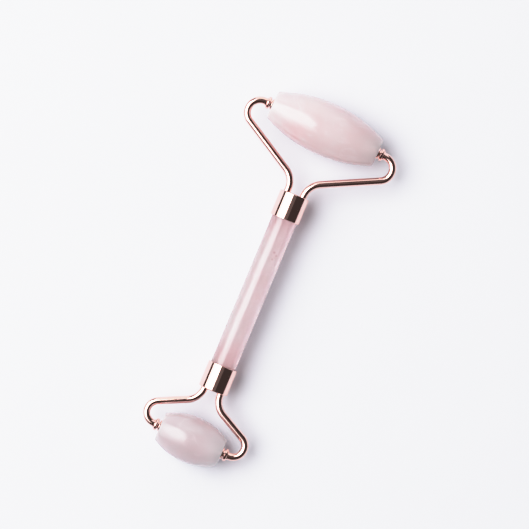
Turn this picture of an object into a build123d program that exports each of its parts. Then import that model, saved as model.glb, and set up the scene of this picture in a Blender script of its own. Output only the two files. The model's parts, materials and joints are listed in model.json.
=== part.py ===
"""Face roller: a stone rod with a wire fork and a turning stone barrel at each end (millimetres).

The tool lies on its two rollers, on the plane Z = 0. The handle runs along Y, with the large
roller at +Y, and the origin is under the middle of the tool's plan. The rollers differ in
diameter, so the handle rises slightly towards the large one.
"""

import os
from dataclasses import dataclass
from math import asin, cos, radians, sin, tan

from build123d import *

# Driving dimensions, in millimetres and degrees

ROD_DIAMETER = 9.8
ROD_EXPOSED_LENGTH = 58.9
ROD_INSERTION = 4.0  # depth of each rod end inside its ferrule
ROD_END_CHAMFER = 0.5

FERRULE_DIAMETER = 11.5
FERRULE_LENGTH = 10.0
FERRULE_WALL = 0.75
FERRULE_END_THICKNESS = 0.9
FERRULE_END_ROUNDING = 0.4
FERRULE_MOUTH_ROUNDING = 0.15

WIRE_DIAMETER = 2.8
WIRE_HOLE_DIAMETER = 3.0
WIRE_TIP_CHAMFER = 0.3
ROOT_SPACING = 6.4  # between the two wires where they leave a ferrule
ROOT_BEND_RADIUS = 7.4
ANCHOR_DEPTH = 4.4  # centre line of the wire's hidden bend, below the ferrule's end face
ANCHOR_BEND_RADIUS = 3.0
AXLE_INSERTION = 4.5  # length of each wire tail inside the stone

STONE_END_DIAMETER = 10.65
STONE_BORE_DIAMETER = 4.0
STONE_END_ROUNDING = 0.8

EYELET_TUBE_LENGTH = 5.0
EYELET_TUBE_WALL = 0.25
EYELET_FLANGE_DIAMETER = 4.5
EYELET_FLANGE_THICKNESS = 0.55
EYELET_FLANGE_ROUNDING = 0.25

LINER_DIAMETER = 3.5
LINER_BORE_DIAMETER = 2.9  # runs on the wire with 0.05 of clearance all round

END_PLAY = 0.3  # between an eyelet and its collar
COLLAR_BORE_DIAMETER = 2.84
COLLAR_BOSS_DIAMETER = 3.7
COLLAR_BOSS_LENGTH = 0.25
COLLAR_FLANGE_DIAMETER = 4.8
COLLAR_FLANGE_THICKNESS = 1.2
COLLAR_INNER_ROUNDING = 0.2  # of the flange's edge towards the stone
COLLAR_OUTER_ROUNDING = 0.55
COLLAR_NECK_DIAMETER = 3.4
COLLAR_NECK_LENGTH = 0.35


@dataclass
class Head:
    """One end of the tool: its fork and its roller."""

    name: str
    toward: int  # 1 at the +Y end of the handle, -1 at the other
    stone_length: float
    stone_diameter: float
    axle_distance: float  # from the ferrule's end face to the roller's axis
    fork_reach: float  # from the fork's centre line to the wire's outermost point
    arm_rise: float  # angle between an arm and the roller's axis
    root_corner: float  # where the lines of root and arm meet, beyond the ferrule
    lean: float  # the hand-bent fork's turn in its own plane, clockwise seen from above


LARGE = Head(
    name="large",
    toward=1,
    stone_length=42.9,
    stone_diameter=19.8,
    axle_distance=26.9,
    fork_reach=30.65,
    arm_rise=28.25,
    root_corner=5.25,
    lean=2.1,
)
SMALL = Head(
    name="small",
    toward=-1,
    stone_length=24.9,
    stone_diameter=17.55,
    axle_distance=20.0,
    fork_reach=20.95,
    arm_rise=26.6,
    root_corner=4.8,
    lean=1.15,
)

# Values worked out from them

wire_radius = WIRE_DIAMETER / 2
root_x = ROOT_SPACING / 2
ferrule_end = ROD_EXPOSED_LENGTH / 2 + FERRULE_LENGTH  # from the middle of the handle


def hub_corner_x(head):
    """Distance from the fork's centre line to where an arm's line meets the roller's axis."""
    return root_x + (head.axle_distance - head.root_corner) / tan(radians(head.arm_rise))


def hub_bend_radius(head):
    """Radius of the bend at the end of an arm, tangent to the arm and to the roller's axis."""
    overshoot = hub_corner_x(head) - (head.fork_reach - wire_radius)
    return overshoot / (1 / tan(radians(head.arm_rise / 2)) - 1)


def axle_position(head):
    """Distance of a roller's axis from the middle of the handle, along the handle."""
    return ferrule_end + head.axle_distance * cos(radians(head.lean))


# The handle's slope puts both rollers on the plane Z = 0, and the plan's middle on the origin.
radius_difference = (LARGE.stone_diameter - SMALL.stone_diameter) / 2
handle_slope = asin(radius_difference / (axle_position(LARGE) + axle_position(SMALL)))
handle_height = LARGE.stone_diameter / 2 - axle_position(LARGE) * sin(handle_slope)
plan_centre_x = (LARGE.axle_distance - hub_bend_radius(LARGE)) * sin(radians(LARGE.lean))
plan_centre_y = (axle_position(LARGE) - axle_position(SMALL) + radius_difference) / 2

# Local X of this plane runs across the handle, local Y along it, and both forks lie in it.
tool_plane = Plane(
    origin=(-plan_centre_x, -plan_centre_y, handle_height),
    x_dir=(1, 0, 0),
    z_dir=(0, -sin(handle_slope), cos(handle_slope)),
)


def outward(head):
    """Direction out of a ferrule, away from the handle."""
    return tool_plane.y_dir * head.toward


def ferrule_plane(head):
    """Plane of a ferrule's end face, whose normal points away from the handle."""
    centre = tool_plane.from_local_coords((0, head.toward * ferrule_end, 0))
    return Plane(origin=centre, x_dir=tool_plane.x_dir, z_dir=outward(head))


def fork_plane(head):
    """Plane of a fork: the origin is at the ferrule's end face and local Y points to the roller."""
    across = tool_plane.x_dir * head.toward
    upright = Axis(tool_plane.origin, tool_plane.z_dir)
    return Plane(
        origin=ferrule_plane(head).origin,
        x_dir=across.rotate(upright, -head.lean),
        z_dir=tool_plane.z_dir,
    )


def roller_plane(head, side=1):
    """Plane through a roller's axis, which is its local X, pointing to one side of the stone."""
    fork = fork_plane(head)
    return Plane(
        origin=fork.from_local_coords((0, head.axle_distance, 0)),
        x_dir=fork.x_dir * side,
        z_dir=fork.z_dir * side,
    )


def roller_axis(head):
    """The axis that a roller turns on."""
    plane = roller_plane(head)
    return Axis(plane.origin, plane.x_dir)


def make_rod():
    """The stone rod, with its ends inside the ferrules."""
    middle = Plane(origin=tool_plane.origin, x_dir=tool_plane.x_dir, z_dir=tool_plane.y_dir)
    with BuildPart() as rod:
        with BuildSketch(middle):
            Circle(ROD_DIAMETER / 2)
        extrude(amount=ROD_EXPOSED_LENGTH / 2 + ROD_INSERTION, both=True)
        chamfer(rod.edges().filter_by(GeomType.CIRCLE), ROD_END_CHAMFER)
    return rod


def make_ferrule(head):
    """A drawn cup, open towards the handle, with two holes for the wire in its end face."""
    end_face = ferrule_plane(head)
    inner_face = end_face.offset(-FERRULE_END_THICKNESS)
    with BuildPart() as ferrule:
        with BuildSketch(end_face):
            Circle(FERRULE_DIAMETER / 2)
        extrude(amount=-FERRULE_LENGTH)
        rims = ferrule.edges().filter_by(GeomType.CIRCLE).sort_by(Axis(end_face.origin, end_face.z_dir))
        fillet(rims[-1], FERRULE_END_ROUNDING)
        with BuildSketch(inner_face):
            Circle(FERRULE_DIAMETER / 2 - FERRULE_WALL)
        extrude(amount=-FERRULE_LENGTH, mode=Mode.SUBTRACT)
        rims = ferrule.edges().filter_by(GeomType.CIRCLE).sort_by(Axis(end_face.origin, end_face.z_dir))
        fillet(rims[:2], FERRULE_MOUTH_ROUNDING)
        with BuildSketch(end_face):
            with GridLocations(ROOT_SPACING, 0, 2, 1):
                Circle(WIRE_HOLE_DIAMETER / 2)
        extrude(amount=-FERRULE_END_THICKNESS, mode=Mode.SUBTRACT)
    return ferrule


def make_fork_wire(head):
    """One wire: axle tail, hub bend, arm, root, the bend hidden in the ferrule, and back out."""
    axle_tip = (head.stone_length / 2 - AXLE_INSERTION, head.axle_distance)
    hub = (hub_corner_x(head), head.axle_distance)
    root = (root_x, head.root_corner)
    anchor = (root_x, -ANCHOR_DEPTH)
    half = [axle_tip, hub, root, anchor]
    mirrored = [(-x, y) for x, y in reversed(half)]
    bends = [hub_bend_radius(head), ROOT_BEND_RADIUS, ANCHOR_BEND_RADIUS]
    with BuildPart() as wire:
        with BuildLine(fork_plane(head)) as route:
            FilletPolyline(*half, *mirrored, radius=bends + bends[::-1])
        with BuildSketch(Plane(origin=route.line @ 0, z_dir=route.line % 0)):
            Circle(wire_radius)
        sweep()
        tips = wire.faces().filter_by(GeomType.PLANE)
        chamfer(tips.edges(), WIRE_TIP_CHAMFER)
    return wire


def make_adhesive(head, wire):
    """Cured epoxy that fills a ferrule round the rod's end and the hidden bend of the wire."""
    end_face = ferrule_plane(head)
    bed_length = FERRULE_LENGTH - FERRULE_END_THICKNESS - FERRULE_MOUTH_ROUNDING
    rod_end = FERRULE_LENGTH - ROD_INSERTION
    with BuildPart() as adhesive:
        with BuildSketch(end_face.offset(-FERRULE_END_THICKNESS)):
            Circle(FERRULE_DIAMETER / 2 - FERRULE_WALL)
        extrude(amount=-bed_length)
        with BuildSketch(end_face.offset(-rod_end)):
            Circle(ROD_DIAMETER / 2)
        extrude(amount=-ROD_INSERTION, mode=Mode.SUBTRACT)
        add(wire, mode=Mode.SUBTRACT)
    return adhesive


def make_stone(head):
    """A barrel with flat ends, drilled through along its axis."""
    half_length = head.stone_length / 2
    with BuildPart() as stone:
        with BuildSketch(roller_plane(head)) as profile:
            with BuildLine():
                belly = ThreePointArc(
                    (-half_length, STONE_END_DIAMETER / 2),
                    (0, head.stone_diameter / 2),
                    (half_length, STONE_END_DIAMETER / 2),
                )
                Polyline(
                    belly @ 1,
                    (half_length, STONE_BORE_DIAMETER / 2),
                    (-half_length, STONE_BORE_DIAMETER / 2),
                    belly @ 0,
                )
            make_face()
            fillet(profile.vertices().group_by(Axis.Y)[-1], STONE_END_ROUNDING)
        revolve(axis=roller_axis(head))
    return stone


def make_eyelet(head, side):
    """A flanged metal tube glued into one end of the stone's bore."""
    stone_end = head.stone_length / 2
    bore_radius = STONE_BORE_DIAMETER / 2 - EYELET_TUBE_WALL
    with BuildPart() as eyelet:
        with BuildSketch(roller_plane(head, side)) as profile:
            with BuildLine():
                Polyline(
                    (stone_end - EYELET_TUBE_LENGTH, bore_radius),
                    (stone_end + EYELET_FLANGE_THICKNESS, bore_radius),
                    (stone_end + EYELET_FLANGE_THICKNESS, EYELET_FLANGE_DIAMETER / 2),
                    (stone_end, EYELET_FLANGE_DIAMETER / 2),
                    (stone_end, STONE_BORE_DIAMETER / 2),
                    (stone_end - EYELET_TUBE_LENGTH, STONE_BORE_DIAMETER / 2),
                    close=True,
                )
            make_face()
            outer_corner = profile.vertices().group_by(Axis.Y)[-1].sort_by(Axis.X)[-1]
            fillet(outer_corner, EYELET_FLANGE_ROUNDING)
        revolve(axis=roller_axis(head))
    return eyelet


def make_liner(head, side):
    """A nylon sleeve inside an eyelet, flush with its flange, in which the wire turns."""
    outer_end = head.stone_length / 2 + EYELET_FLANGE_THICKNESS
    inner_end = head.stone_length / 2 - EYELET_TUBE_LENGTH
    with BuildPart() as liner:
        with BuildSketch(roller_plane(head, side)):
            with BuildLine():
                Polyline(
                    (inner_end, LINER_BORE_DIAMETER / 2),
                    (outer_end, LINER_BORE_DIAMETER / 2),
                    (outer_end, LINER_DIAMETER / 2),
                    (inner_end, LINER_DIAMETER / 2),
                    close=True,
                )
            make_face()
        revolve(axis=roller_axis(head))
    return liner


def make_collar(head, side):
    """A stop collar brazed on a wire tail: a boss that faces the eyelet, a domed flange, a neck."""
    boss_face = head.stone_length / 2 + EYELET_FLANGE_THICKNESS + END_PLAY
    flange_face = boss_face + COLLAR_BOSS_LENGTH
    back_face = flange_face + COLLAR_FLANGE_THICKNESS
    neck_end = back_face + COLLAR_NECK_LENGTH
    with BuildPart() as collar:
        with BuildSketch(roller_plane(head, side)) as profile:
            with BuildLine():
                Polyline(
                    (boss_face, COLLAR_BORE_DIAMETER / 2),
                    (neck_end, COLLAR_BORE_DIAMETER / 2),
                    (neck_end, COLLAR_NECK_DIAMETER / 2),
                    (back_face, COLLAR_NECK_DIAMETER / 2),
                    (back_face, COLLAR_FLANGE_DIAMETER / 2),
                    (flange_face, COLLAR_FLANGE_DIAMETER / 2),
                    (flange_face, COLLAR_BOSS_DIAMETER / 2),
                    (boss_face, COLLAR_BOSS_DIAMETER / 2),
                    close=True,
                )
            make_face()
            outer_corner = profile.vertices().group_by(Axis.Y)[-1].sort_by(Axis.X)[-1]
            fillet(outer_corner, COLLAR_OUTER_ROUNDING)
            inner_corner = profile.vertices().group_by(Axis.Y)[-1].sort_by(Axis.X)[0]
            fillet(inner_corner, COLLAR_INNER_ROUNDING)
        revolve(axis=roller_axis(head))
    return collar


def save(piece, node):
    """Label a finished piece and write it as its own STEP file."""
    piece.part.label = node
    export_step(piece.part, f"parts/{node}.step")


os.makedirs("parts", exist_ok=True)
save(make_rod(), "handle_rod")
for head in (LARGE, SMALL):
    fork_wire = make_fork_wire(head)
    save(fork_wire, f"{head.name}_fork_wire")
    save(make_ferrule(head), f"{head.name}_ferrule")
    save(make_adhesive(head, fork_wire.part), f"{head.name}_adhesive")
    save(make_stone(head), f"{head.name}_roller_stone")
    for side in (-1, 1):
        # Left and right are as seen from above, with the large roller at the top.
        hand = "right" if side * head.toward > 0 else "left"
        save(make_eyelet(head, side), f"{head.name}_eyelet_{hand}")
        save(make_liner(head, side), f"{head.name}_liner_{hand}")
        save(make_collar(head, side), f"{head.name}_collar_{hand}")
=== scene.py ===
"""Looks of the rose quartz face roller.

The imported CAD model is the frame. The handle's rod and the two roller stones are rebuilt
here as hand-polished lathed meshes. Every metal, nylon and epoxy part keeps its CAD shape,
and each piece gets a procedural material. Lengths are in metres unless a comment says
otherwise, in the CAD's own axes: +Y runs along the handle towards the large roller, and
+Z is up from the table.
"""

import json
import math

import bpy
from mathutils import Matrix, Vector, noise


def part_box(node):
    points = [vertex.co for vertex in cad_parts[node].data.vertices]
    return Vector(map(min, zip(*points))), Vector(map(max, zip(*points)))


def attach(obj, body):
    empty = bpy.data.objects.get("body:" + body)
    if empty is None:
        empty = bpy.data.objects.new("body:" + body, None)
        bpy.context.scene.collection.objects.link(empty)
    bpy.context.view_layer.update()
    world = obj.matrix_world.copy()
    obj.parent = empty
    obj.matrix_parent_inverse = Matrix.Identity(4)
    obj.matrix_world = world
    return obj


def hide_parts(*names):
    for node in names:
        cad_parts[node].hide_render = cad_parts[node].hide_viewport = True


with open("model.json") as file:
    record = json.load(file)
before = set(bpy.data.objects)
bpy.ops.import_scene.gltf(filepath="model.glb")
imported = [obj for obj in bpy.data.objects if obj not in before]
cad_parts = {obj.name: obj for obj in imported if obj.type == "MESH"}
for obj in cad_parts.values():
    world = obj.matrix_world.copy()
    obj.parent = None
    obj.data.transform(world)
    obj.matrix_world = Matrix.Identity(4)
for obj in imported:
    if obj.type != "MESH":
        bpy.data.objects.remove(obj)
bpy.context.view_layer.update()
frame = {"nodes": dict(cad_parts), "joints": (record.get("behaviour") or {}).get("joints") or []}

MM = 0.001
NODES = frame["nodes"]
JOINTS = {joint["name"]: joint for joint in frame["joints"]}

# ---------------------------------------------------------------- camera, as the photograph

CAMERA_TURN = math.radians(22.74)        # the handle leans this far from the picture's upright
CAMERA_LENS = 165.0                      # mm
CAMERA_SENSOR = 36.0                     # mm wide
CAMERA_HEIGHT = 0.901                    # above the handle's middle
VIEW_AHEAD = 11.15 * MM                  # picture centre from mid-handle, along Y
VIEW_ASIDE = -0.35 * MM                  # and along X

# ---------------------------------------------------------------- studio

# Each light: bearing anticlockwise from the picture's right and angle off the zenith in
# degrees, distance from the handle, width, height, and radiance.
SCRIM = (166.0, 41.0, 1.30, 1.85, 1.44, 2.6)
HOT_SPOT = (158.0, 31.5, 1.25, 1.12, 1.12, 4.4)
FILL_WALL = (80.0, 64.0, 1.50, 1.40, 1.46, 1.25)
CEILING = (337.0, 7.0, 2.80, 1.20, 1.20, 0.09)
SIDE_FILL = (345.0, 66.0, 1.40, 1.80, 1.20, 0.55)
SIDE_FILL_COLOUR = (1.0, 0.84, 0.90)
ROOM_COLOUR = (1.0, 0.98, 0.97, 1.0)
ROOM_RADIANCE = 0.045
FLOOR_COLOUR = (0.835, 0.85, 0.925, 1.0)
FLOOR_GRAIN = 0.985                      # brightness of the table's darker grain, against its colour
FLOOR_SIZE = 7.0
BACKDROP_COLOUR = (0.92, 0.92, 0.94, 1.0)
BACKDROP_RADIUS = 3.4
BACKDROP_FOOT = -0.5                     # it starts below the table top, so that no gap shows
BACKDROP_TOP = 4.0
BACKDROP_SEGMENTS = 64
BLACK = (0.0, 0.0, 0.0, 1.0)

# How a camera rolls off its highlights: scene light and the light shown, up to TONE_WHITE.
TONE_WHITE = 4.0
TONE_CURVE = (
    (0.0, 0.0), (0.3, 0.3), (0.5, 0.5), (0.7, 0.69), (0.8, 0.765), (0.9, 0.825), (1.0, 0.865),
    (1.1, 0.893), (1.25, 0.92), (1.5, 0.945), (2.0, 0.965), (3.0, 0.98), (4.0, 0.99),
)
COMBINED_CURVE = 3                       # after the curves of red, green and blue

# ---------------------------------------------------------------- stone shapes

ROD_END_ROUNDING = 0.5 * MM
STONE_END_DIAMETER = 10.65 * MM
STONE_BORE_DIAMETER = 4.0 * MM
STONE_END_ROUNDING = 0.8 * MM
POLISH_DEPTH = 0.035 * MM                # how far the hand polishing dips below a true surface
POLISH_PATCH = 9.0 * MM                  # size of one dip
POLISH_FADE = 4.0 * MM                   # dips get shallower within this radius of the axis
ON_AXIS = 1e-7                           # a smaller radius than this is a point on the axis

# How finely the lathed meshes are divided: round the axis, then along stretches of outline.
LATHE_SEGMENTS = 160
ROD_LENGTH_STEPS = 150
ROD_END_STEPS = 6
BELLY_STEPS = 120
BORE_STEPS = 24
STONE_END_STEPS = 8

# Seeds of the polishing dips.
ROD_SEED = 3.7
LARGE_SEED = 5.3
SMALL_SEED = 8.9

# ---------------------------------------------------------------- stone colours

# Pale, middle and deep cloud colours of each stone.
ROD_COLOURS = ((0.80, 0.68, 0.68, 1.0), (0.78, 0.63, 0.635, 1.0), (0.76, 0.58, 0.585, 1.0))
LARGE_COLOURS = ((0.74, 0.59, 0.60, 1.0), (0.72, 0.55, 0.56, 1.0), (0.70, 0.50, 0.51, 1.0))
SMALL_COLOURS = ((0.60, 0.51, 0.53, 1.0), (0.57, 0.48, 0.50, 1.0), (0.55, 0.45, 0.47, 1.0))

VEIL_COLOUR = (0.90, 0.82, 0.84, 1.0)
VEIL_STRENGTH = 0.22

ROD_SHIFT = 0.013                        # moves the rod's clouds through their pattern
SHIFT_PER_SEED = 0.01                    # the same for a roller, times its seed
ROD_CLEARNESS = 0.62                     # share of the light that passes through, not scattered
ROD_DEPTH = 11.0 * MM                    # how far light scatters inside the stone
ROLLER_CLEARNESS = 0.15
ROLLER_DEPTH = 18.0 * MM

# Local patches: middle (aside, ahead, up, from the stone's middle) and radius in mm, then
# strength and tint.
ROD_PATCHES = (
    ((0.0, 38.0, 0.0), 18.0, 0.9, (0.75, 0.43, 0.45, 1.0)),
    ((0.0, -36.0, 0.0), 20.0, 0.85, (0.76, 0.48, 0.49, 1.0)),
    # Partly the stone's deeper colour, partly painted shade over the key-lit upper left near the
    # large end.
    ((-4.0, 31.0, 3.0), 12.0, 0.6, (0.66, 0.35, 0.38, 1.0)),
    ((-3.0, -27.0, 3.0), 12.0, 0.4, (0.68, 0.40, 0.42, 1.0)),
    ((1.3, 16.6, 4.7), 0.8, 0.65, (0.46, 0.20, 0.22, 1.0)),
    ((2.4, 15.7, 4.3), 0.7, 0.55, (0.46, 0.20, 0.22, 1.0)),
    ((1.5, 14.0, 4.6), 0.7, 0.55, (0.46, 0.20, 0.22, 1.0)),
    ((1.9, 15.0, 4.5), 1.9, 0.35, (0.68, 0.46, 0.48, 1.0)),
)
LARGE_PATCHES = (
    ((-10.0, -7.0, 6.0), 8.0, 0.6, (0.76, 0.46, 0.47, 1.0)),
    ((-8.0, 8.0, 5.0), 9.0, 0.4, (0.82, 0.70, 0.68, 1.0)),
)
# These two are fitted to the light as well as to the stone's own colour, so they are partly painted
# light and shade: the deeper one is painted shade over the key-lit left, the paler one is painted
# light over the shaded right end.
SMALL_TINTS_AND_PAINTED_SHADING = (
    ((-9.0, 0.0, 5.0), 13.0, 0.7, (0.47, 0.40, 0.42, 1.0)),
    ((13.0, 0.0, 3.0), 15.0, 0.9, (0.84, 0.71, 0.74, 1.0)),
)

# ---------------------------------------------------------------- metal, glue and nylon colours

# The two ends of each material's slight change of colour.
ROSE_GOLD_COLOURS = ((0.94, 0.565, 0.505, 1.0), (0.96, 0.595, 0.535, 1.0))
EPOXY_COLOURS = ((0.70, 0.56, 0.34, 1.0), (0.82, 0.70, 0.50, 1.0))
NYLON_COLOURS = ((0.78, 0.77, 0.74, 1.0), (0.86, 0.85, 0.82, 1.0))

# ---------------------------------------------------------------- sockets of Blender's Mix node

# Several of its sockets share a name, so the ones that mix colours are found by number.
MIX_FACTOR = 0
MIX_FIRST = 6
MIX_SECOND = 7
MIX_RESULT = 2


# ================================================================ placing

def box_centre(node):
    low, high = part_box(node)
    return (low + high) / 2


def placement(origin, axis):
    """Matrix of a local frame whose Z is the given axis and whose X leans up."""
    z = axis.normalized()
    x = (Vector((0, 0, 1)) - z * z.z).normalized()
    y = z.cross(x)
    turn = Matrix((x, y, z)).transposed().to_4x4()
    return Matrix.Translation(origin) @ turn


def reach(node, place):
    """Half the length along the local Z, and the largest radius about it, of a CAD node."""
    inverse = place.inverted()
    points = [inverse @ vertex.co for vertex in NODES[node].data.vertices]
    half_length = (max(p.z for p in points) - min(p.z for p in points)) / 2
    radius = max(math.hypot(p.x, p.y) for p in points)
    return half_length, radius


def roller_place(joint_name):
    joint = JOINTS[joint_name]
    return placement(Vector(joint["pos_m"]), Vector(joint["axis"]))


def rod_place():
    axis = box_centre("large_ferrule") - box_centre("small_ferrule")
    return placement(box_centre("handle_rod"), axis)


# ================================================================ mesh building

def arc(centre, radius, start, end, steps):
    """Points (radius from the axis, height) along a circular arc, angles in degrees."""
    points = []
    for i in range(steps + 1):
        angle = math.radians(start + (end - start) * i / steps)
        across = centre[0] + radius * math.cos(angle)
        points.append((across, centre[1] + radius * math.sin(angle)))
    return points


def line(start, end, steps):
    """Points between two profile points, without the last."""
    return [
        (start[0] + (end[0] - start[0]) * i / steps, start[1] + (end[1] - start[1]) * i / steps)
        for i in range(steps)
    ]


def add_mesh(name, vertices, faces):
    """A new object with its own mesh, in the scene."""
    mesh = bpy.data.meshes.new(name)
    mesh.from_pydata(vertices, [], faces)
    piece = bpy.data.objects.new(name, mesh)
    bpy.context.scene.collection.objects.link(piece)
    return piece


def polished_ring(radius, height, seed):
    """One ring of points about Z, with the shallow dips of hand polishing."""
    if radius < ON_AXIS:
        return [Vector((0, 0, height))]
    points = []
    for i in range(LATHE_SEGMENTS):
        angle = 2 * math.pi * i / LATHE_SEGMENTS
        x, y = math.cos(angle), math.sin(angle)
        probe = Vector((radius * x, radius * y, height)) / POLISH_PATCH
        probe += Vector((seed, 2 * seed, 3 * seed))
        fade = min(1.0, radius / POLISH_FADE)
        dip = POLISH_DEPTH * (0.5 + 0.5 * noise.noise(probe)) * fade
        points.append(Vector(((radius - dip) * x, (radius - dip) * y, height)))
    return points


def faces_between(lower, upper):
    """Faces that join two rings of vertex numbers; a ring of one is a point on the axis."""
    faces = []
    count = max(len(lower), len(upper))
    for i in range(count):
        j = (i + 1) % count
        if len(lower) == 1:
            faces.append((lower[0], upper[j], upper[i]))
        elif len(upper) == 1:
            faces.append((lower[i], lower[j], upper[0]))
        else:
            faces.append((lower[i], lower[j], upper[j], upper[i]))
    return faces


def lathe(name, profile, place, seed, closed):
    """Turns a profile of (radius, height) points about the Z of a place."""
    vertices = []
    rings = []
    for radius, height in profile:
        points = polished_ring(radius, height, seed)
        rings.append(range(len(vertices), len(vertices) + len(points)))
        vertices += points
    next_rings = rings[1:]
    if closed:
        next_rings.append(rings[0])
    faces = []
    for lower, upper in zip(rings, next_rings):
        faces += faces_between(lower, upper)
    piece = add_mesh(name, vertices, faces)
    piece.data.transform(place)
    piece.data.update()
    piece.data.shade_smooth()
    return piece


def barrel_profile(half_length, middle_radius):
    """The closed outline of a drilled barrel: bore, end faces, rounded edges, belly arc."""
    end_radius = STONE_END_DIAMETER / 2
    sagitta = middle_radius - end_radius
    belly = (half_length ** 2 + sagitta ** 2) / (2 * sagitta)
    centre = middle_radius - belly
    rounding = STONE_END_ROUNDING
    # The rounding touches the end face and the belly arc from inside.
    corner_height = half_length - rounding
    corner_radius = centre + math.sqrt((belly - rounding) ** 2 - corner_height ** 2)
    touch = math.degrees(math.atan2(corner_height, corner_radius - centre))
    bore = STONE_BORE_DIAMETER / 2
    steps = STONE_END_STEPS
    outline = line((bore, half_length), (bore, -half_length), BORE_STEPS)
    outline += line((bore, -half_length), (corner_radius, -half_length), steps)
    outline += arc((corner_radius, -corner_height), rounding, -90, -touch, steps)[:-1]
    outline += arc((centre, 0), belly, -touch, touch, BELLY_STEPS)
    outline += arc((corner_radius, corner_height), rounding, touch, 90, steps)[1:]
    outline += line((corner_radius, half_length), (bore, half_length), steps)[1:]
    return outline


def rod_profile(half_length, radius):
    """The outline of a solid rod with rounded end edges, from one end of the axis to the other."""
    rounding = ROD_END_ROUNDING
    inner = radius - rounding
    shoulder = half_length - rounding
    steps = ROD_END_STEPS
    outline = line((0, -half_length), (inner, -half_length), steps)
    outline += arc((inner, -shoulder), rounding, -90, 0, steps)
    outline += line((radius, -shoulder), (radius, shoulder), ROD_LENGTH_STEPS)[1:]
    outline += arc((inner, shoulder), rounding, 0, 90, steps)
    outline += line((inner, half_length), (0, half_length), steps)[1:]
    outline.append((0, half_length))
    return outline


# ================================================================ node helpers

def new_material(name):
    """A material, its node tree and its shader."""
    material = bpy.data.materials.new(name)
    material.use_nodes = True
    tree = material.node_tree
    return material, tree, tree.nodes["Principled BSDF"]


def add(tree, kind, **settings):
    """A new node with the given settings."""
    node = tree.nodes.new(kind)
    for key, value in settings.items():
        setattr(node, key, value)
    return node


def object_point(tree, scale=(1, 1, 1), shift=(0, 0, 0)):
    """The surface point in the object's own axes, stretched and shifted."""
    where = add(tree, "ShaderNodeTexCoord")
    mapping = add(tree, "ShaderNodeMapping")
    mapping.inputs["Scale"].default_value = scale
    mapping.inputs["Location"].default_value = shift
    tree.links.new(where.outputs["Object"], mapping.inputs["Vector"])
    return mapping.outputs["Vector"]


def cloud(tree, point, scale, detail, roughness, distortion=0.0):
    """Soft noise, of about as many features per metre as its scale."""
    texture = add(tree, "ShaderNodeTexNoise")
    texture.inputs["Scale"].default_value = scale
    texture.inputs["Detail"].default_value = detail
    texture.inputs["Roughness"].default_value = roughness
    texture.inputs["Distortion"].default_value = distortion
    tree.links.new(point, texture.inputs["Vector"])
    return texture.outputs["Fac"]


def ramp(tree, factor, stops):
    """A colour ramp from (position, colour) stops."""
    node = add(tree, "ShaderNodeValToRGB")
    elements = node.color_ramp.elements
    while len(elements) < len(stops):
        elements.new(0.5)
    for element, (position, colour) in zip(elements, stops):
        element.position = position
        element.color = colour
    tree.links.new(factor, node.inputs["Fac"])
    return node.outputs["Color"]


def span(tree, value, source, result=(0.0, 1.0)):
    """Maps the source range smoothly onto the result range, and clamps it."""
    node = add(tree, "ShaderNodeMapRange", interpolation_type="SMOOTHSTEP")
    node.inputs["From Min"].default_value = source[0]
    node.inputs["From Max"].default_value = source[1]
    node.inputs["To Min"].default_value = result[0]
    node.inputs["To Max"].default_value = result[1]
    tree.links.new(value, node.inputs["Value"])
    return node.outputs["Result"]


def blend(tree, factor, first, second):
    """Mixes two colours; each may be a socket or a plain colour."""
    node = add(tree, "ShaderNodeMix", data_type="RGBA")
    for index, value in ((MIX_FIRST, first), (MIX_SECOND, second)):
        if isinstance(value, tuple):
            node.inputs[index].default_value = value
        else:
            tree.links.new(value, node.inputs[index])
    tree.links.new(factor, node.inputs[MIX_FACTOR])
    return node.outputs[MIX_RESULT]


def bump(tree, shader, height, distance, strength):
    """Gives the shader a relief from a height socket."""
    node = add(tree, "ShaderNodeBump")
    node.inputs["Strength"].default_value = strength
    node.inputs["Distance"].default_value = distance
    tree.links.new(height, node.inputs["Height"])
    tree.links.new(node.outputs["Normal"], shader.inputs["Normal"])


# ================================================================ materials

def near(tree, place, offset, radius):
    """A soft round mask, its middle offset from a place in mm along the CAD's axes.

    The stones' vertices are in the CAD's axes, so their object coordinates are too.
    """
    where = add(tree, "ShaderNodeTexCoord")
    distance = add(tree, "ShaderNodeVectorMath", operation="DISTANCE")
    distance.inputs[1].default_value = place.to_translation() + Vector(offset) * MM
    tree.links.new(where.outputs["Object"], distance.inputs[0])
    return span(tree, distance.outputs["Value"], (0.0, radius * MM), (1.0, 0.0))


def veiled(tree, colour, shift):
    """Lays thin white veils of healed cracks over a colour."""
    point = object_point(tree, scale=(1.0, 1.6, 0.7), shift=(shift, shift, shift))
    veils = cloud(tree, point, scale=140.0, detail=6.0, roughness=0.62, distortion=1.4)
    return blend(tree, span(tree, veils, (0.53, 0.72), (0.0, VEIL_STRENGTH)), colour, VEIL_COLOUR)


def patched(tree, colour, place, patches):
    """Lays local patches over a colour, one after the other."""
    for offset, radius, strength, tint in patches:
        mask = add(tree, "ShaderNodeMath", operation="MULTIPLY")
        mask.inputs[1].default_value = strength
        tree.links.new(near(tree, place, offset, radius), mask.inputs[0])
        colour = blend(tree, mask.outputs["Value"], colour, tint)
    return colour


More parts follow.
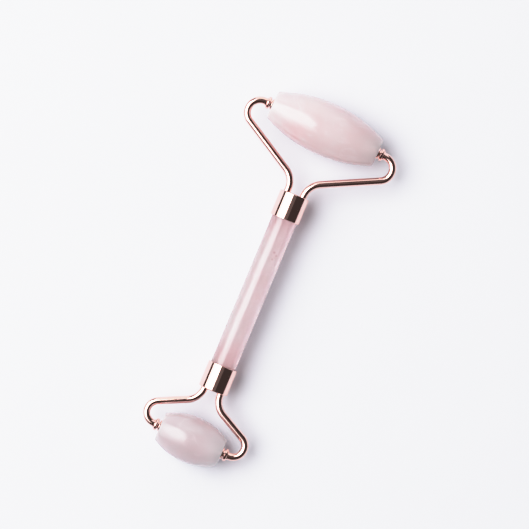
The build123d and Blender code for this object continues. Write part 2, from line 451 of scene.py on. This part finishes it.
def rose_quartz(name, colours, shift, clearness, depth, place, patches):
    """Milky rose quartz: soft clouds, veils and patches under a polished skin."""
    material, tree, shader = new_material(name)
    point = object_point(tree, shift=(shift, -shift, 0.5 * shift))
    clouds = cloud(tree, point, scale=62.0, detail=3.0, roughness=0.5, distortion=0.6)
    pale, middle, deep = colours
    colour = ramp(tree, clouds, [(0.30, deep), (0.50, middle), (0.70, pale)])
    colour = patched(tree, veiled(tree, colour, shift), place, patches)
    tree.links.new(colour, shader.inputs["Base Color"])
    shader.inputs["Subsurface Weight"].default_value = 1.0
    shader.inputs["Subsurface Radius"].default_value = (1.0, 0.80, 0.83)
    shader.inputs["Subsurface Scale"].default_value = depth
    shader.inputs["Subsurface Anisotropy"].default_value = 0.2
    shader.inputs["IOR"].default_value = 1.54
    shader.inputs["Transmission Weight"].default_value = clearness
    smudges = cloud(tree, point, scale=210.0, detail=4.0, roughness=0.55)
    polish = span(tree, smudges, (0.3, 0.7), (0.015, 0.045))
    tree.links.new(polish, shader.inputs["Roughness"])
    ripple = cloud(tree, point, scale=420.0, detail=2.0, roughness=0.5)
    bump(tree, shader, ripple, distance=0.02 * MM, strength=0.3)
    return material


def rose_gold():
    """Polished rose gold plating with faint buffing marks."""
    material, tree, shader = new_material("polished_rose_gold")
    point = object_point(tree)
    tone = cloud(tree, point, scale=180.0, detail=3.0, roughness=0.5)
    deep, pale = ROSE_GOLD_COLOURS
    tree.links.new(ramp(tree, tone, [(0.35, deep), (0.65, pale)]), shader.inputs["Base Color"])
    shader.inputs["Metallic"].default_value = 1.0
    wear = cloud(tree, point, scale=900.0, detail=5.0, roughness=0.6)
    tree.links.new(span(tree, wear, (0.35, 0.75), (0.06, 0.13)), shader.inputs["Roughness"])
    along_handle = object_point(tree, scale=(1.0, 0.25, 1.0))
    marks = cloud(tree, along_handle, scale=2600.0, detail=3.0, roughness=0.5)
    bump(tree, shader, marks, distance=0.004 * MM, strength=0.35)
    return material


def cured_epoxy():
    """Clear, slightly yellow glue."""
    material, tree, shader = new_material("cured_epoxy")
    tint = cloud(tree, object_point(tree), scale=500.0, detail=3.0, roughness=0.5)
    deep, pale = EPOXY_COLOURS
    tree.links.new(ramp(tree, tint, [(0.3, deep), (0.7, pale)]), shader.inputs["Base Color"])
    shader.inputs["Roughness"].default_value = 0.18
    shader.inputs["IOR"].default_value = 1.55
    shader.inputs["Subsurface Weight"].default_value = 0.6
    shader.inputs["Subsurface Scale"].default_value = 1.0 * MM
    return material


def white_nylon():
    """Turned nylon: off-white and waxy with fine turning marks."""
    material, tree, shader = new_material("white_nylon")
    round_axle = object_point(tree, scale=(6.0, 1.0, 1.0))
    marks = cloud(tree, round_axle, scale=900.0, detail=4.0, roughness=0.6)
    deep, pale = NYLON_COLOURS
    tree.links.new(ramp(tree, marks, [(0.3, deep), (0.7, pale)]), shader.inputs["Base Color"])
    tree.links.new(span(tree, marks, (0.3, 0.7), (0.38, 0.5)), shader.inputs["Roughness"])
    shader.inputs["Subsurface Weight"].default_value = 0.4
    shader.inputs["Subsurface Scale"].default_value = 0.8 * MM
    bump(tree, shader, marks, distance=0.01 * MM, strength=0.4)
    return material


def pale_table():
    """Matte white table top with hardly any tooth."""
    material, tree, shader = new_material("pale_table")
    grain = cloud(tree, object_point(tree), scale=24.0, detail=4.0, roughness=0.5)
    darker = tuple(FLOOR_GRAIN * channel for channel in FLOOR_COLOUR[:3]) + (1.0,)
    colour = blend(tree, span(tree, grain, (0.3, 0.7)), FLOOR_COLOUR, darker)
    tree.links.new(colour, shader.inputs["Base Color"])
    shader.inputs["Roughness"].default_value = 0.9
    shader.inputs["Specular IOR Level"].default_value = 0.1
    return material


def studio_wall_paint():
    """A plain pale glow, which reflects nothing."""
    material, _, shader = new_material("studio_wall_paint")
    shader.inputs["Base Color"].default_value = BLACK
    shader.inputs["Specular IOR Level"].default_value = 0.0
    shader.inputs["Emission Color"].default_value = BACKDROP_COLOUR
    shader.inputs["Emission Strength"].default_value = 1.0
    return material


# ================================================================ pieces

def paint(piece, material):
    """Gives every material slot of a piece the same material."""
    slots = piece.data.materials
    if len(slots) == 0:
        slots.append(material)
    for index in range(len(slots)):
        slots[index] = material


def build_handle():
    place = rod_place()
    half_length, radius = reach("handle_rod", place)
    piece = lathe("handle_stone", rod_profile(half_length, radius), place, ROD_SEED, closed=False)
    material = rose_quartz(
        "handle_rose_quartz",
        ROD_COLOURS,
        ROD_SHIFT,
        ROD_CLEARNESS,
        ROD_DEPTH,
        place,
        ROD_PATCHES,
    )
    paint(piece, material)
    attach(piece, "frame")
    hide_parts("handle_rod")


def build_roller(size, colours, seed, patches):
    place = roller_place(size + "_roller_spin")
    node = size + "_roller_stone"
    half_length, radius = reach(node, place)
    profile = barrel_profile(half_length, radius)
    piece = lathe(size + "_barrel_stone", profile, place, seed, closed=True)
    material = rose_quartz(
        size + "_roller_rose_quartz",
        colours,
        SHIFT_PER_SEED * seed,
        ROLLER_CLEARNESS,
        ROLLER_DEPTH,
        place,
        patches,
    )
    paint(piece, material)
    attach(piece, size + "_roller")
    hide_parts(node)


def finish_metal_and_plastic():
    """Paints each CAD node whose material is named after one of these slots of the record."""
    finishes = {"rose_gold": rose_gold(), "epoxy": cured_epoxy(), "nylon": white_nylon()}
    for node in NODES.values():
        slot_name = node.data.materials[0].name.split(".")[0]
        if slot_name in finishes:
            paint(node, finishes[slot_name])


# ================================================================ studio

def picture_direction(bearing, off_zenith):
    """Unit vector: bearing anticlockwise from the picture's right, angle off the zenith."""
    azimuth = math.radians(bearing) + CAMERA_TURN
    tilt = math.radians(off_zenith)
    aside, ahead = math.cos(azimuth), math.sin(azimuth)
    return Vector((math.sin(tilt) * aside, math.sin(tilt) * ahead, math.cos(tilt)))


def soft_box(name, shape, settings):
    """An area light that faces the handle's middle. The camera doesn't see the light itself."""
    bearing, off_zenith, distance, width, height, radiance = settings
    light = bpy.data.lights.new(name, "AREA")
    light.shape = shape
    light.size = width
    light.size_y = height
    area = width * height * (math.pi / 4 if shape == "ELLIPSE" else 1.0)
    light.energy = radiance * math.pi * area
    lamp = bpy.data.objects.new(name, light)
    bpy.context.scene.collection.objects.link(lamp)
    outward = picture_direction(bearing, off_zenith)
    aim = outward.to_track_quat("Z", "Y").to_matrix().to_4x4()
    lamp.matrix_world = Matrix.Translation(box_centre("handle_rod") + outward * distance) @ aim
    lamp.visible_camera = False
    return lamp


def build_lights():
    soft_box("scrim", "RECTANGLE", SCRIM)
    soft_box("hot_spot", "ELLIPSE", HOT_SPOT)
    soft_box("fill_wall", "RECTANGLE", FILL_WALL)
    soft_box("ceiling", "ELLIPSE", CEILING)
    # This one stands for light scattered round the room, so no surface mirrors its shape.
    side_fill = soft_box("side_fill", "RECTANGLE", SIDE_FILL)
    side_fill.data.color = SIDE_FILL_COLOUR
    side_fill.visible_glossy = False


def build_world():
    """A dim room round the table."""
    world = bpy.data.worlds.new("studio")
    bpy.context.scene.world = world
    world.use_nodes = True
    room = world.node_tree.nodes["Background"]
    room.inputs["Color"].default_value = ROOM_COLOUR
    room.inputs["Strength"].default_value = ROOM_RADIANCE


def build_table():
    half = FLOOR_SIZE / 2
    corners = [(-half, -half, 0), (half, -half, 0), (half, half, 0), (-half, half, 0)]
    table = add_mesh("table_top", corners, [(0, 1, 2, 3)])
    paint(table, pale_table())


def build_backdrop():
    """A pale round studio wall, which only the camera sees."""
    count = BACKDROP_SEGMENTS
    vertices = []
    for height in (BACKDROP_FOOT, BACKDROP_TOP):
        for i in range(count):
            angle = 2 * math.pi * i / count
            x, y = BACKDROP_RADIUS * math.cos(angle), BACKDROP_RADIUS * math.sin(angle)
            vertices.append((x, y, height))
    wall = add_mesh("studio_wall", vertices, faces_between(range(count), range(count, 2 * count)))
    wall.data.shade_smooth()
    paint(wall, studio_wall_paint())
    wall.visible_diffuse = False
    wall.visible_glossy = False
    wall.visible_transmission = False
    wall.visible_volume_scatter = False
    wall.visible_shadow = False


def build_camera():
    data = bpy.data.cameras.new("camera")
    data.lens = CAMERA_LENS
    data.sensor_width = CAMERA_SENSOR
    camera = bpy.data.objects.new("camera", data)
    bpy.context.scene.collection.objects.link(camera)
    camera.location = box_centre("handle_rod") + Vector((VIEW_ASIDE, VIEW_AHEAD, CAMERA_HEIGHT))
    camera.rotation_euler = (0, 0, CAMERA_TURN)
    bpy.context.scene.camera = camera


def roll_off_highlights():
    """A photographic shoulder on the plain view transform, so that whites keep their colour."""
    view = bpy.context.scene.view_settings
    view.view_transform = "Standard"
    view.use_curve_mapping = True
    mapping = view.curve_mapping
    mapping.white_level = (TONE_WHITE, TONE_WHITE, TONE_WHITE)
    curve = mapping.curves[COMBINED_CURVE]
    for position, shown in TONE_CURVE[1:-1]:
        curve.points.new(position / TONE_WHITE, shown)
    curve.points[-1].location = (1.0, TONE_CURVE[-1][1])
    for point in curve.points:
        point.handle_type = "AUTO_CLAMPED"
    mapping.update()


# ================================================================ making it

build_handle()
build_roller("large", LARGE_COLOURS, LARGE_SEED, LARGE_PATCHES)
build_roller("small", SMALL_COLOURS, SMALL_SEED, SMALL_TINTS_AND_PAINTED_SHADING)
finish_metal_and_plastic()
build_table()
build_backdrop()
build_lights()
build_world()
build_camera()
roll_off_highlights()
